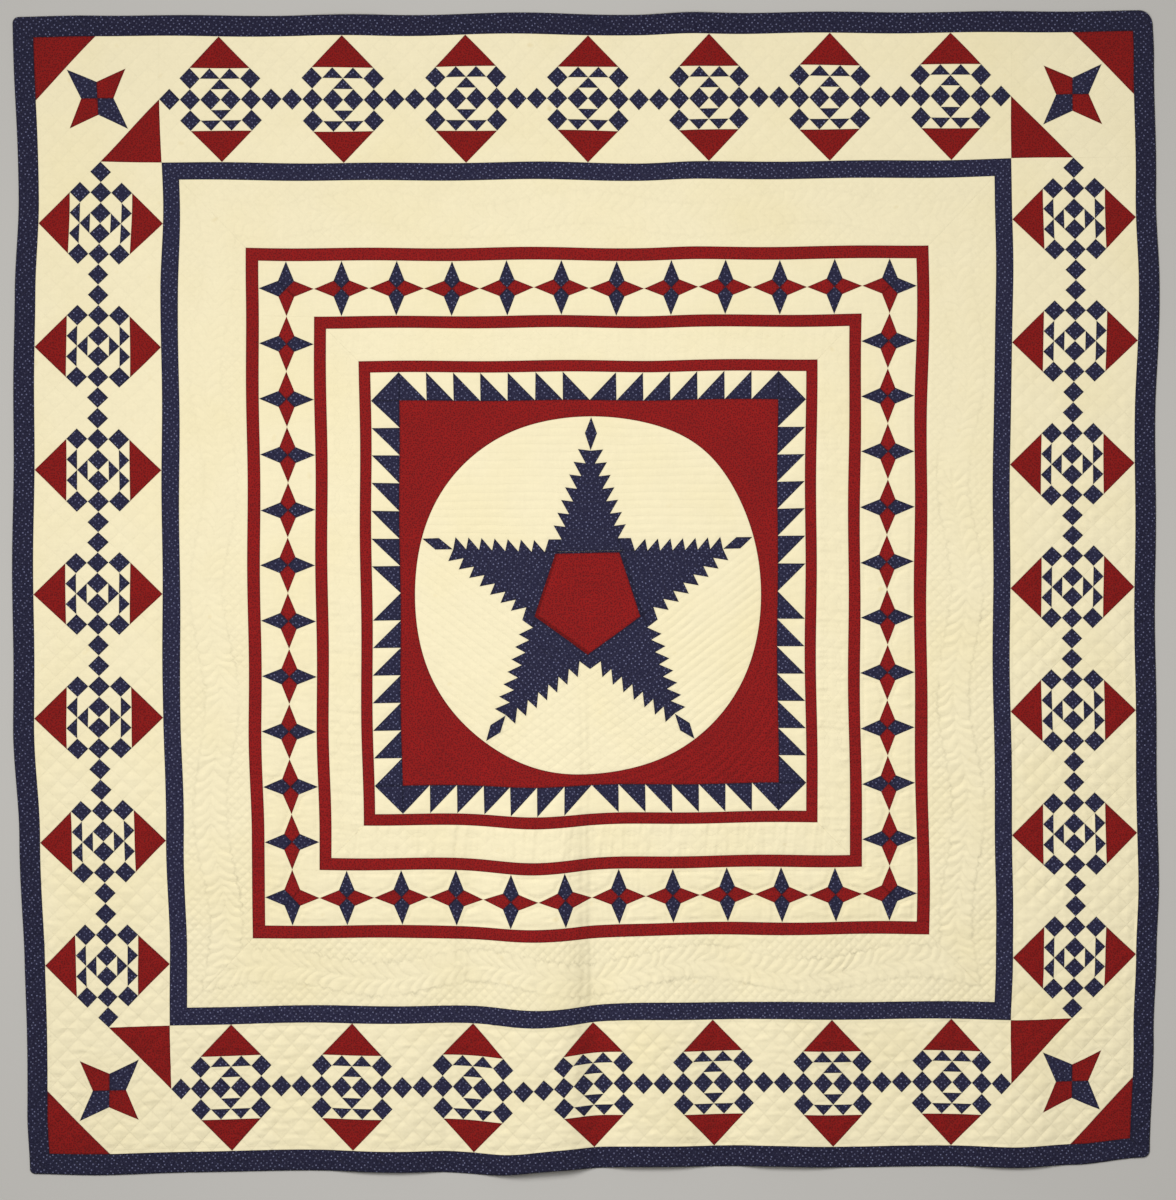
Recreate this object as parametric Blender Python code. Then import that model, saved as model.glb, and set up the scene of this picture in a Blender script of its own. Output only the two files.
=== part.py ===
"""Star quilt blanket: a pieced and quilted bed cover lying flat, with soft folds running to its lower edge.

Each piece a maker cuts or pieces is one closed body, a small cut apart from the next: the centre disc,
the square round it, four strips for each border, four corner blocks and the edging.
Axes: X right, Y up the cover, Z up from the floor; origin at the middle of the cover, on the floor.
"""

import math

import bpy
import numpy as np
from mathutils import Vector
from mathutils.geometry import delaunay_2d_cdt

# Cloth (metres)
CUT = 0.00032  # clear cut between neighbouring pieces
SEAM_THICK = 0.0030  # cover thickness along a seam
STITCH_THICK = 0.0036  # cover thickness along a quilting line
PUFF_THICK = 0.0054  # cover thickness in the middle of a puff

# Centre medallion
DISC_X = 0.3275  # half width of the centre disc
DISC_Y = 0.3340  # half height of the centre disc
DISC_MIDDLE = (-0.001, -0.005)
DISC_POINTS = 72
DISC_LOBES = (  # unevenness of the hand-cut disc: waves round it, cosine share, sine share
    (1, -0.0005, 0.0022),
    (2, 0.0013, 0.0012),
    (3, -0.0009, 0.0006),
    (4, -0.0045, -0.0009),
    (5, -0.0001, -0.0017),
)

# Borders from the centre out: name, half size of its outer edge, how its corners are made
SQUARE_HALF = 0.3535
BORDERS = (
    ("sawtooth", 0.4055, "butted"),
    ("inner_red", 0.4268, "butted"),
    ("cream_frame", 0.4870, "mitred"),
    ("middle_red", 0.5094, "butted"),
    ("star_chain", 0.6113, "butted"),
    ("outer_red", 0.6348, "butted"),
    ("wide_cream", 0.7590, "mitred"),
    ("navy_strip", 0.7912, "butted"),
    ("block_border", 1.0243, "corner_blocks"),
    ("edging", 1.0630, "butted"),
)
COVER_HALF = 1.0630

# Spacing of the points that carry the shape
STATION = 0.0600  # along the seams
PUFF_STEP = 0.0430  # from puff to quilting line
UNDER_STEP = 0.1150  # on the underside

# The cover as it lies: stretch of the whole, then how far each edge has drifted
STRETCH_X = 0.9930
STRETCH_Y = 1.0040
DRIFT_POWER = 1.6  # how fast the drift of an edge fades inward
LEFT_DRIFT = (  # place along the edge (-1 bottom, 1 top), drift to the right
    (-1.00, 0.022),
    (-0.89, 0.017),
    (-0.63, 0.009),
    (-0.42, 0.000),
    (-0.22, -0.009),
    (0.00, -0.011),
    (0.52, -0.009),
    (0.68, 0.000),
    (0.92, -0.007),
    (1.00, -0.007),
)
RIGHT_DRIFT = (  # place along the edge (-1 bottom, 1 top), drift to the right
    (-1.00, -0.016),
    (-0.78, -0.011),
    (-0.64, -0.004),
    (-0.51, 0.000),
    (0.00, -0.004),
    (0.30, -0.005),
    (0.53, 0.002),
    (0.68, -0.005),
    (0.92, -0.007),
    (1.00, -0.011),
)
TOP_DRIFT = (  # place along the edge (-1 left, 1 right), drift upward
    (-1.00, -0.006),
    (-0.86, -0.001),
    (-0.33, -0.001),
    (-0.10, 0.002),
    (0.09, -0.001),
    (0.20, 0.004),
    (0.41, 0.006),
    (1.00, 0.006),
)
BOTTOM_DRIFT = (  # place along the edge (-1 left, 1 right), drift upward
    (-1.00, -0.004),
    (-0.86, -0.006),
    (-0.57, 0.001),
    (-0.33, -0.002),
    (-0.16, 0.000),
    (0.09, 0.005),
    (0.25, 0.007),
    (0.41, 0.004),
    (0.55, 0.007),
    (0.74, 0.007),
    (0.86, 0.013),
    (1.00, 0.028),
)
SAG = 0.0095  # how far the borders sag below the middle of the lower half
SAG_X = -0.105
SAG_WIDTH = 0.100
SAG_LEANS_BELOW = -0.775  # the sag runs to the left below this y
SAG_LEAN = 0.28
SAG_NARROWING = 0.09
MIDDLE_X = 0.00371  # brings the middle of the whole cover to the origin
MIDDLE_Y = 0.00043

# Wander of the seams over the whole cover (millimetres), on an even grid whose first row is the lower edge
WANDER_RIGHT = (
    (-0.8, 2.2, 9.2, 12.3, 10.6, 8.3, 6.5, -1.7),
    (6.6, 6.0, 10.0, 11.3, 8.3, 4.6, 3.5, 1.3),
    (1.6, 7.6, 9.4, 9.0, 5.3, 0.9, -1.0, -1.5),
    (0.4, 7.2, 7.1, 5.7, 2.0, -2.0, -4.0, -3.3),
    (1.9, 5.9, 5.3, 3.8, 1.9, -0.5, -3.2, -1.4),
    (3.1, 2.1, 2.4, 2.6, 2.5, 0.9, -0.9, 0.2),
    (6.1, -2.9, -1.4, 1.1, 1.0, -0.3, 1.5, -1.1),
    (-0.9, -7.7, -4.9, -1.0, -1.1, -1.4, 2.3, -2.3),
)
WANDER_UP = (
    (-3.2, -2.8, -3.3, -1.3, 0.4, -0.5, -2.7, -6.9),
    (-10.6, -4.7, -0.3, 0.4, 1.6, 4.1, 1.5, -4.1),
    (-8.2, -3.1, -1.0, -1.6, -0.8, 3.1, 4.4, 3.0),
    (-5.3, -3.0, -2.1, -2.1, -0.6, 3.3, 7.6, 10.7),
    (-1.5, -0.8, -0.9, -0.9, 0.9, 3.5, 8.2, 13.9),
    (2.1, 0.3, -0.6, 0.3, 1.4, 1.2, 5.3, 13.6),
    (5.5, 1.9, -0.7, -0.5, -0.8, -1.9, 3.4, 12.2),
    (2.2, -0.2, 1.9, 4.0, 2.3, 0.0, 0.3, 1.6),
)

# Soft folds: x of the crest where it starts and at the lower edge, widths to its left and right, height,
# y where it starts, y of full height
FOLDS = (
    (-0.079, -0.080, 0.146, 0.088, 0.0170, -0.200, -0.620),
    (0.090, 0.098, 0.090, 0.135, 0.0100, -0.560, -0.900),
    (0.350, 0.358, 0.096, 0.132, 0.0090, -0.520, -0.880),
    (-0.400, -0.392, 0.115, 0.115, 0.0070, -0.680, -0.960),
    (0.790, 0.800, 0.110, 0.110, 0.0060, -0.760, -1.000),
)
TOP_RIPPLES = (
    (-0.440, -0.450, 0.100, 0.100, 0.0040, 0.860, 1.010),
    (0.190, 0.190, 0.110, 0.110, 0.0035, 0.900, 1.020),
)

# Rounded corners of the edging: side in X and in Y, then radius
CORNERS = {
    (-1, 1): 0.012,
    (1, 1): 0.026,
    (-1, -1): 0.009,
    (1, -1): 0.014,
}

CREAM = (0.86, 0.80, 0.62)
RED = (0.26, 0.012, 0.020)
NAVY = (0.022, 0.024, 0.070)
PIECE_COLOURS = {
    "sawtooth": NAVY,
    "inner_red": RED,
    "cream_frame": CREAM,
    "middle_red": RED,
    "star_chain": CREAM,
    "outer_red": RED,
    "wide_cream": CREAM,
    "navy_strip": NAVY,
    "block_border": CREAM,
    "edging": NAVY,
}


def ease(value):
    """Smooth step from 0 to 1."""
    t = np.clip(value, 0.0, 1.0)
    return t * t * (3.0 - 2.0 * t)


def along_table(table, place):
    """Value of a drift table at a place, eased between its rows."""
    value = np.full(place.shape, table[0][1])
    for (start, low), (end, high) in zip(table[:-1], table[1:]):
        value += (high - low) * ease((place - start) / (end - start))
    return value


def hump(offset):
    """Smooth weight of a grid number at an offset from it, in grid steps."""
    away = np.abs(offset)
    near = 2.0 / 3.0 - away**2 + 0.5 * away**3
    return np.where(away < 1.0, near, np.clip(2.0 - away, 0.0, None) ** 3 / 6.0)


def wander(table, across, up):
    """Value of a wander grid at places from -1 to 1, in metres."""
    grid = np.pad(np.array(table), 1, mode="edge")
    steps = 0.5 * (len(table) - 1)
    columns = [hump((across + 1.0) * steps + 1.0 - i) for i in range(len(grid))]
    rows = [hump((up + 1.0) * steps + 1.0 - j) for j in range(len(grid))]
    return 0.001 * np.einsum("ji,in,jn->n", grid, np.stack(columns), np.stack(rows))


def lay(x, y):
    """Where a point of the cut cloth lies on the floor."""
    across = x / COVER_HALF
    up = y / COVER_HALF
    left = np.clip(-across, 0.0, None) ** DRIFT_POWER
    right = np.clip(across, 0.0, None) ** DRIFT_POWER
    top = np.clip(up, 0.0, None) ** DRIFT_POWER
    bottom = np.clip(-up, 0.0, None) ** DRIFT_POWER
    shift_x = left * along_table(LEFT_DRIFT, up) + right * along_table(RIGHT_DRIFT, up)
    shift_y = top * along_table(TOP_DRIFT, across) + bottom * along_table(BOTTOM_DRIFT, across)
    shift_x += wander(WANDER_RIGHT, across, up)
    shift_y += wander(WANDER_UP, across, up)
    below = np.clip(SAG_LEANS_BELOW - y, 0.0, None)
    beside = (x - SAG_X + SAG_LEAN * below) / (SAG_WIDTH - SAG_NARROWING * below)
    sag = SAG * np.exp(-(beside**2)) * ease((-up - 0.20) / 0.30)
    return STRETCH_X * x + shift_x + MIDDLE_X, STRETCH_Y * y + shift_y - sag + MIDDLE_Y


def lift(x, y):
    """Height of the underside over the floor: zero but under the soft folds."""
    height = np.zeros(x.shape)
    for start_x, end_x, left, right, full, start_y, end_y in FOLDS + TOP_RIPPLES:
        reach = (y - start_y) / (end_y - start_y)
        middle = start_x + (end_x - start_x) * np.clip(reach, 0.0, 1.0)
        beside = np.clip((x - middle) / np.where(x < middle, -left, right), 0.0, 1.0)
        height = np.maximum(height, full * ease(reach) * np.cos(0.5 * math.pi * beside**1.5) ** 2)
    return height


def seam_stations():
    """Places along X and Y where every seam has a point, so that neighbours bend alike."""
    halves = [SQUARE_HALF] + [half for _, half, _ in BORDERS]
    marks = sorted({side * half for half in halves for side in (-1, 1)})
    count = int(COVER_HALF / STATION)
    for step in range(-count, count + 1):
        place = step * STATION
        if all(abs(place - mark) > 0.4 * STATION for mark in marks):
            marks.append(place)
    return sorted(marks)


STATIONS = seam_stations()


def edge_points(start, end):
    """Points from one corner towards the next, without the last, at the seam stations."""
    level = 0 if abs(end[0] - start[0]) >= abs(end[1] - start[1]) else 1
    span = end[level] - start[level]
    shares = [0.0]
    for mark in STATIONS:
        share = (mark - start[level]) / span
        if 0.004 < share * abs(span) < abs(span) - 0.004:
            shares.append(share)
    points = []
    for share in sorted(shares):
        points.append(
            (
                start[0] + (end[0] - start[0]) * share,
                start[1] + (end[1] - start[1]) * share,
            )
        )
    return points


def outline(corners):
    """Closed outline through corners, pointed at the seam stations."""
    points = []
    for start, end in zip(corners, corners[1:] + corners[:1]):
        points.extend(edge_points(start, end))
    return points


def disc_outline(grow):
    """Outline of the centre disc, grown or shrunk by a little."""
    points = []
    for step in range(DISC_POINTS):
        turn = 2.0 * math.pi * step / DISC_POINTS
        out = grow
        for waves, cosine, sine in DISC_LOBES:
            out += cosine * math.cos(waves * turn) + sine * math.sin(waves * turn)
        points.append(
            (
                DISC_MIDDLE[0] + (DISC_X + out) * math.cos(turn),
                DISC_MIDDLE[1] + (DISC_Y + out) * math.sin(turn),
            )
        )
    return points


def inside(points, loop):
    """Which points lie inside a loop."""
    x, y = points[:, 0], points[:, 1]
    result = np.zeros(len(points), dtype=bool)
    for (ax, ay), (bx, by) in zip(loop, loop[1:] + loop[:1]):
        if ay == by:
            continue
        crosses = (ay > y) != (by > y)
        result ^= crosses & (x < (bx - ax) * (y - ay) / (by - ay) + ax)
    return result


def distance_to(points, loops):
    """Distance of each point from the nearest edge of the loops."""
    best = np.full(len(points), np.inf)
    for loop in loops:
        for start, end in zip(loop, loop[1:] + loop[:1]):
            a = np.array(start)
            d = np.array(end) - a
            t = np.clip((points - a) @ d / (d @ d), 0.0, 1.0)
            best = np.minimum(best, np.linalg.norm(points - a - t[:, None] * d, axis=1))
    return best


def grid_inside(loops, step, clear):
    """Grid points inside the first loop and outside the others, with row and column parity."""
    outer = np.array(loops[0])
    low, high = outer.min(axis=0), outer.max(axis=0)
    counts = np.maximum(np.round((high - low) / step).astype(int), 2)
    columns = np.linspace(low[0], high[0], counts[0] + 1)[1:-1]
    rows = np.linspace(low[1], high[1], counts[1] + 1)[1:-1]
    column, row = np.meshgrid(np.arange(len(columns)), np.arange(len(rows)))
    points = np.column_stack([columns[column.ravel()], rows[row.ravel()]])
    puff = (column.ravel() + row.ravel()) % 2 == 0
    keep = inside(points, loops[0]) & (distance_to(points, loops) > clear)
    for hole in loops[1:]:
        keep &= ~inside(points, hole)
    if len(columns) == 1 or len(rows) == 1:
        puff[:] = True
    return points[keep], puff[keep]


def triangles(points, loops):
    """Triangles between the points, inside the first loop and outside the others."""
    edges = []
    first = 0
    for loop in loops:
        count = len(loop)
        edges.extend((first + i, first + (i + 1) % count) for i in range(count))
        first += count
    found = delaunay_2d_cdt([Vector(p) for p in points], edges, [], 1, 1e-7)
    source = [sources[0] for sources in found[3]]
    faces = np.array([[source[v] for v in face] for face in found[2]])
    keep = np.ones(len(faces), dtype=bool)
    for hole in loops[1:]:
        keep &= ~inside(points[faces].mean(axis=1), hole)
    return faces[keep]


def add_piece(name, loops, colour):
    """Builds one closed piece of the cover from its outline loops."""
    rim = np.array([p for loop in loops for p in loop])
    high, puff = grid_inside(loops, PUFF_STEP, 0.35 * PUFF_STEP)
    low, _ = grid_inside(loops, UNDER_STEP, 0.30 * UNDER_STEP)
    top = np.vstack([rim, high])
    under = np.vstack([rim, low])
    rise = np.concatenate(
        [np.full(len(rim), SEAM_THICK), np.where(puff, PUFF_THICK, STITCH_THICK)]
    )
    top_x, top_y = lay(top[:, 0], top[:, 1])
    under_x, under_y = lay(under[:, 0], under[:, 1])
    top_z = lift(top[:, 0], top[:, 1]) + rise
    under_z = lift(under[:, 0], under[:, 1])
    places = np.vstack(
        [
            np.column_stack([top_x, top_y, top_z]),
            np.column_stack([under_x, under_y, under_z]),
        ]
    )
    shift = len(top)
    faces = [tuple(int(v) for v in face) for face in triangles(top, loops)]
    faces += [tuple(int(v) + shift for v in face[::-1]) for face in triangles(under, loops)]
    first = 0
    for loop in loops:
        count = len(loop)
        for i in range(count):
            a = first + i
            b = first + (i + 1) % count
            faces.append((a, a + shift, b + shift))
            faces.append((a, b + shift, b))
        first += count
    mesh = bpy.data.meshes.new(name)
    mesh.from_pydata(places.tolist(), [], faces)
    mesh.update()
    body = bpy.data.objects.new(name, mesh)
    bpy.context.scene.collection.objects.link(body)
    material = bpy.data.materials.new(name)
    material.use_nodes = True
    shader = material.node_tree.nodes["Principled BSDF"]
    shader.inputs["Base Color"].default_value = (*colour, 1.0)
    shader.inputs["Roughness"].default_value = 0.9
    mesh.materials.append(material)


def turned(corners, quarter):
    """Corners turned about the middle by quarter turns, counterclockwise."""
    points = list(corners)
    for _ in range(quarter):
        points = [(-y, x) for x, y in points]
    return points


def strip_corners(inner, outer, corner_kind, side):
    """Corners of one border strip, drawn for the top and turned to its side."""
    c = 0.5 * CUT
    low, high = inner + c, outer - c
    if corner_kind == "mitred":
        m = c * math.sqrt(2.0)
        corners = [(-low + m, low), (low - m, low), (high - m, high), (-high + m, high)]
    elif corner_kind == "corner_blocks":
        corners = [(-inner + c, low), (inner - c, low), (inner - c, high), (-inner + c, high)]
    elif side % 2 == 0:
        corners = [(-high, low), (high, low), (high, high), (-high, high)]
    else:
        corners = [(-inner + c, low), (inner - c, low), (inner - c, high), (-inner + c, high)]
    return turned(corners, side)


def round_corners(corners):
    """Outline of an edging strip whose outer corners are rounded."""
    limit = COVER_HALF - 2.0 * CUT
    points = []
    for start, end in zip(corners, corners[1:] + corners[:1]):
        stretch = edge_points(start, end)
        if min(abs(start[0]), abs(start[1])) > limit:
            side_x = math.copysign(1.0, start[0])
            side_y = math.copysign(1.0, start[1])
            radius = CORNERS[(int(side_x), int(side_y))]
            middle = (start[0] - side_x * radius, start[1] - side_y * radius)
            first = math.atan2(side_y, side_x) - 0.25 * math.pi
            for step in range(5):
                turn = first + 0.5 * math.pi * step / 4
                x = middle[0] + radius * math.cos(turn)
                y = middle[1] + radius * math.sin(turn)
                points.append((x, y))
            stretch = stretch[1:]
        points.extend(stretch)
    return points


for old in list(bpy.data.objects):
    bpy.data.objects.remove(old, do_unlink=True)

square = SQUARE_HALF - 0.5 * CUT
add_piece("star_disc", [disc_outline(-0.5 * CUT)], CREAM)
add_piece(
    "red_square",
    [
        outline([(-square, -square), (square, -square), (square, square), (-square, square)]),
        disc_outline(0.5 * CUT)[::-1],
    ],
    RED,
)

inner_half = SQUARE_HALF
for border, outer_half, kind in BORDERS:
    for quarter, where in enumerate(("top", "left", "bottom", "right")):
        corner_list = strip_corners(inner_half, outer_half, kind, quarter)
        if border == "edging":
            loop_points = round_corners(corner_list)
        else:
            loop_points = outline(corner_list)
        add_piece(f"{border}_{where}", [loop_points], PIECE_COLOURS[border])
    if kind == "corner_blocks":
        near = inner_half + 0.5 * CUT
        far = outer_half - 0.5 * CUT
        for quarter, where in enumerate(("top_right", "top_left", "bottom_left", "bottom_right")):
            block = turned([(near, near), (far, near), (far, far), (near, far)], quarter)
            add_piece(f"corner_block_{where}", [outline(block)], CREAM)
    inner_half = outer_half
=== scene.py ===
import math
import bpy
import numpy as np
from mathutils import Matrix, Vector
from mathutils.geometry import delaunay_2d_cdt


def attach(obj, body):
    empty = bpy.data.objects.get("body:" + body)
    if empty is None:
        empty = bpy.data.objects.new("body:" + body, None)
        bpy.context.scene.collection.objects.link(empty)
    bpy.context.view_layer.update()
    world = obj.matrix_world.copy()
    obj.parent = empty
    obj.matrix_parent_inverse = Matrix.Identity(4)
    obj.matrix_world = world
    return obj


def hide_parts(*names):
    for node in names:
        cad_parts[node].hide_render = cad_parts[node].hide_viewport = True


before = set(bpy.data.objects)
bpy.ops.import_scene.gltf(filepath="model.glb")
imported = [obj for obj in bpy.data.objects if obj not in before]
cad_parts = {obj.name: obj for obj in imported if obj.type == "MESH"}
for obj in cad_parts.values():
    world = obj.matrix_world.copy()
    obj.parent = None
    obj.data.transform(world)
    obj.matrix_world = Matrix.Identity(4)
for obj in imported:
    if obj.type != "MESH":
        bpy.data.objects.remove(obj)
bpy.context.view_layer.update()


# The centre disc: cream muslin with a navy feathered star pieced round a red pentagon, its patches sewn edge
# to edge and quilted through a thin cotton filling. How the whole cover lies on the floor, its cloths and
# the way that a piece is sewn are worked out here too, since the disc is the first to need them.
CUT = 0.00006  # clear cut between neighbouring pieces
COVER_HALF = 1.0630  # half the width of the cut cover
STRETCH_X = 0.9930
STRETCH_Y = 1.0040
MIDDLE = (0.00371, 0.00043)
DRIFT_POWER = 1.6  # how soon an edge's drift dies away inward
UNSTEADY = 0.0009  # how far hand sewing strays to either side

# Drift of each edge: place along it from -1 to 1, then metres to the right or upward
EDGE_DRIFT = {
    "left": (
        (-1.00, 0.022), (-0.89, 0.017), (-0.63, 0.009), (-0.42, 0.000), (-0.22, -0.009),
        (0.00, -0.011), (0.52, -0.009), (0.68, 0.000), (0.92, -0.007), (1.00, -0.007),
    ),
    "right": (
        (-1.00, -0.016), (-0.78, -0.011), (-0.64, -0.004), (-0.51, 0.000), (0.00, -0.004),
        (0.30, -0.005), (0.53, 0.002), (0.68, -0.005), (0.92, -0.007), (1.00, -0.011),
    ),
    "top": (
        (-1.00, -0.006), (-0.86, -0.001), (-0.33, -0.001), (-0.10, 0.002), (0.09, -0.001),
        (0.20, 0.004), (0.41, 0.006), (1.00, 0.006),
    ),
    "bottom": (
        (-1.00, -0.004), (-0.86, -0.006), (-0.57, 0.001), (-0.33, -0.002), (-0.16, 0.000),
        (0.09, 0.005), (0.25, 0.007), (0.41, 0.004), (0.55, 0.007), (0.74, 0.007),
        (0.86, 0.013), (1.00, 0.028),
    ),
}

# The borders sag below the middle, and further left where they near the lower edge
SAG = {"drop": 0.0095, "x": -0.105, "width": 0.100, "leans_below": -0.775, "lean": 0.28, "narrowing": 0.09}

# Wander of the seams over the whole cover (millimetres), on an even grid whose first row is the lower edge
WANDER = {
    "right": (
        (-0.8, 2.2, 9.2, 12.3, 10.6, 8.3, 6.5, -1.7),
        (6.6, 6.0, 10.0, 11.3, 8.3, 4.6, 3.5, 1.3),
        (1.6, 7.6, 9.4, 9.0, 5.3, 0.9, -1.0, -1.5),
        (0.4, 7.2, 7.1, 5.7, 2.0, -2.0, -4.0, -3.3),
        (1.9, 5.9, 5.3, 3.8, 1.9, -0.5, -3.2, -1.4),
        (3.1, 2.1, 2.4, 2.6, 2.5, 0.9, -0.9, 0.2),
        (6.1, -2.9, -1.4, 1.1, 1.0, -0.3, 1.5, -1.1),
        (-0.9, -7.7, -4.9, -1.0, -1.1, -1.4, 2.3, -2.3),
    ),
    "up": (
        (-3.2, -2.8, -3.3, -1.3, 0.4, -0.5, -2.7, -6.9),
        (-10.6, -4.7, -0.3, 0.4, 1.6, 4.1, 1.5, -4.1),
        (-8.2, -3.1, -1.0, -1.6, -0.8, 3.1, 4.4, 3.0),
        (-5.3, -3.0, -2.1, -2.1, -0.6, 3.3, 7.6, 10.7),
        (-1.5, -0.8, -0.9, -0.9, 0.9, 3.5, 8.2, 13.9),
        (2.1, 0.3, -0.6, 0.3, 1.4, 1.2, 5.3, 13.6),
        (5.5, 1.9, -0.7, -0.5, -0.8, -1.9, 3.4, 12.2),
        (2.2, -0.2, 1.9, 4.0, 2.3, 0.0, 0.3, 1.6),
    ),
}

# Soft folds: x of the crest where it starts and at the lower edge, widths to its left and right, height,
# y where it starts, y of full height
FOLDS = (
    (-0.079, -0.080, 0.146, 0.088, 0.0170, -0.200, -0.620),
    (0.090, 0.098, 0.090, 0.135, 0.0100, -0.560, -0.900),
    (0.350, 0.358, 0.096, 0.132, 0.0090, -0.520, -0.880),
    (-0.400, -0.392, 0.115, 0.115, 0.0070, -0.680, -0.960),
    (0.790, 0.800, 0.110, 0.110, 0.0060, -0.760, -1.000),
    (-0.440, -0.450, 0.100, 0.100, 0.0040, 0.860, 1.010),
    (0.190, 0.190, 0.110, 0.110, 0.0035, 0.900, 1.020),
)

# Narrow creases in the face: x and y where each starts, x and y where it ends, half width, depth
CREASES = (
    (-0.2200, -0.400, -0.2950, -1.150, 0.0050, 0.0016),
    (-0.2560, -0.400, -0.2560, -0.860, 0.0040, 0.0011),
    (-0.2340, -0.560, -0.2400, -0.860, 0.0040, 0.0010),
    (-0.2860, -0.820, -0.2800, -1.150, 0.0050, 0.0010),
    (-0.0150, -0.140, -0.0210, -0.880, 0.0040, 0.0012),
    (-0.0020, -0.100, -0.0080, -0.900, 0.0040, 0.0015),
    (0.0630, -0.400, 0.0600, -0.520, 0.0040, 0.0009),
    (0.1285, -0.400, 0.1200, -0.520, 0.0040, 0.0008),
    (0.2300, -0.620, 0.2300, -1.200, 0.0090, 0.0009),
    (0.4900, -0.580, 0.4900, -1.200, 0.0100, 0.0009),
)
CREASE_SHADE = 0.0016  # depth of a crease that gets the darkest painted shade


def ease(value):
    """Smooth step from 0 to 1."""
    t = np.clip(value, 0.0, 1.0)
    return t * t * (3.0 - 2.0 * t)


def drift(side, place):
    """Drift of an edge at a place along it, eased between its rows."""
    table = EDGE_DRIFT[side]
    value = np.full(place.shape, table[0][1])
    for (start, low), (end, high) in zip(table[:-1], table[1:]):
        value += (high - low) * ease((place - start) / (end - start))
    return value


def hump(offset):
    """Smooth weight of a grid number at an offset from it, in grid steps."""
    away = np.abs(offset)
    near = 2.0 / 3.0 - away**2 + 0.5 * away**3
    return np.where(away < 1.0, near, np.clip(2.0 - away, 0.0, None) ** 3 / 6.0)


def wander(way, across, up):
    """Wander of the cloth to the right or upward, at places from -1 to 1."""
    grid = np.pad(np.array(WANDER[way]), 1, mode="edge")
    steps = 0.5 * (len(grid) - 3)
    columns = [hump((across + 1.0) * steps + 1.0 - i) for i in range(len(grid))]
    rows = [hump((up + 1.0) * steps + 1.0 - j) for j in range(len(grid))]
    return 0.001 * np.einsum("ji,in,jn->n", grid, np.stack(columns), np.stack(rows))


def lay(x, y):
    """Where a point of the cut cloth lies on the floor, its seams a little unsteady as hand sewing is."""
    across, up = x / COVER_HALF, y / COVER_HALF
    shift_x = np.clip(-across, 0, None) ** DRIFT_POWER * drift("left", up)
    shift_x += np.clip(across, 0, None) ** DRIFT_POWER * drift("right", up)
    shift_y = np.clip(up, 0, None) ** DRIFT_POWER * drift("top", across)
    shift_y += np.clip(-up, 0, None) ** DRIFT_POWER * drift("bottom", across)
    shift_x += wander("right", across, up) + UNSTEADY * np.sin(19 * y + 2.1 * np.sin(9 * x + 1.0) + 7 * x)
    shift_y += wander("up", across, up) + UNSTEADY * np.sin(21 * x + 1.9 * np.sin(8 * y + 2.0) - 6 * y)
    below = np.clip(SAG["leans_below"] - y, 0.0, None)
    beside = (x - SAG["x"] + SAG["lean"] * below) / (SAG["width"] - SAG["narrowing"] * below)
    sag = SAG["drop"] * np.exp(-(beside**2)) * ease((-up - 0.20) / 0.30)
    return STRETCH_X * x + shift_x + MIDDLE[0], STRETCH_Y * y + shift_y - sag + MIDDLE[1]


def lift(x, y):
    """Height of the underside over the floor: zero but under the soft folds."""
    height = np.zeros(x.shape)
    for start_x, end_x, left, right, full, start_y, end_y in FOLDS:
        reach = (y - start_y) / (end_y - start_y)
        middle = start_x + (end_x - start_x) * np.clip(reach, 0.0, 1.0)
        beside = np.clip((x - middle) / np.where(x < middle, -left, right), 0.0, 1.0)
        height = np.maximum(height, full * ease(reach) * np.cos(0.5 * math.pi * beside**1.5) ** 2)
    return height


def creased(x, y):
    """Depth of the narrow creases in the face."""
    depth = np.zeros(x.shape)
    for start_x, start_y, end_x, end_y, half_width, full in CREASES:
        reach = (y - start_y) / (end_y - start_y)
        middle = start_x + (end_x - start_x) * reach + 0.0014 * np.sin(33.0 * y + 60.0 * start_x)
        share = ease(5.0 * reach) * ease(6.0 * (1.0 - reach))
        share *= 0.75 + 0.25 * np.sin(67.0 * y + 90.0 * start_x)
        depth = np.maximum(depth, full * share * np.exp(-(((x - middle) / half_width) ** 2)))
    return depth


class Thread:
    """One output in a material's nodes. A sum written with it adds the Math nodes."""

    def __init__(self, socket):
        self.socket = socket

    def _math(self, operation, first, second):
        settings = {"operation": operation}
        return Cloth.node(self.socket.id_data, "ShaderNodeMath", settings, {0: first, 1: second})

    def __add__(self, other):
        return self._math("ADD", self, other)

    def __sub__(self, other):
        return self._math("SUBTRACT", self, other)

    def __mul__(self, other):
        return self._math("MULTIPLY", self, other)

    def __lt__(self, other):
        return self._math("LESS_THAN", self, other)

    def __mod__(self, other):
        return self._math("FLOORED_MODULO", self, other)

    def __abs__(self):
        return self._math("ABSOLUTE", self, 0.0)

    def __rsub__(self, other):
        return self._math("SUBTRACT", other, self)

    __radd__ = __add__
    __rmul__ = __mul__

    def least(self, other):
        return self._math("MINIMUM", self, other)

    def range(self, start, end, low, high):
        """The number carried smoothly from one span to another."""
        settings = {"interpolation_type": "SMOOTHSTEP"}
        sockets = {0: self, 1: start, 2: end, 3: low, 4: high}
        return Cloth.node(self.socket.id_data, "ShaderNodeMapRange", settings, sockets)

    def part(self, index):
        """One of a vector's three numbers."""
        return Cloth.node(self.socket.id_data, "ShaderNodeSeparateXYZ", {}, {0: self}, index)


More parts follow.
